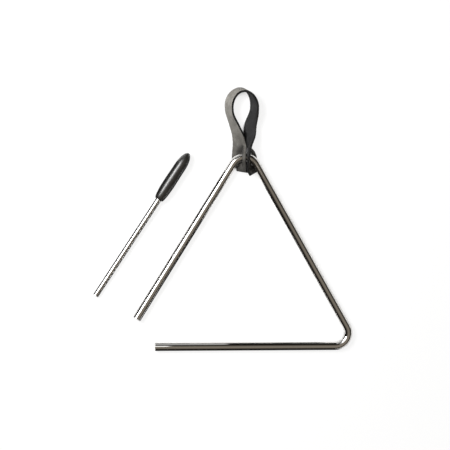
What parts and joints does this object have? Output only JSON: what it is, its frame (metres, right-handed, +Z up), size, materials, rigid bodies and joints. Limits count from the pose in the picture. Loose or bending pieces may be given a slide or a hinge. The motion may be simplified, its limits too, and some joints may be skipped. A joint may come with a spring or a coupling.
{
  "type": "triangle instrument",
  "caption": "Bent chromed steel bar, open at a corner, hung from a slit leather strap at its apex, with a thin steel beater in a moulded grip to strike it.",
  "frame": {"origin": "middle of the footprint, on the table that the set lies on", "axes": "+X to the right along the bar's base, +Y from the base towards the apex and the strap, +Z up from the table"},
  "size_m": [0.2246, 0.2279, 0.0176],
  "materials": {
    "bar_chrome": "polished chrome plating on steel rod",
    "strap_leather": "black grain leather with a dark flesh side",
    "beater_chrome": "polished chrome plating on steel rod",
    "grip_plastic": "glossy black moulded sleeve"
  },
  "bodies": {
    "bar": {"triangle_bar": "bar_chrome"},
    "strap": {"strap": "strap_leather"},
    "beater": {"beater_rod": "beater_chrome", "beater_grip": "grip_plastic"}
  },
  "joints": [
    {"name": "strap_swing", "type": "hinge", "parent": "bar", "child": "strap", "pos_m": [0.02153, 0.05356, 0.0059], "axis": [0.9877, -0.1564, 0], "range_deg": [0, 120]},
    {"name": "beater_lift", "type": "slide", "parent": "bar", "child": "beater", "axis": [0, 0, 1], "range_m": [0, 0.06]}
  ]
}
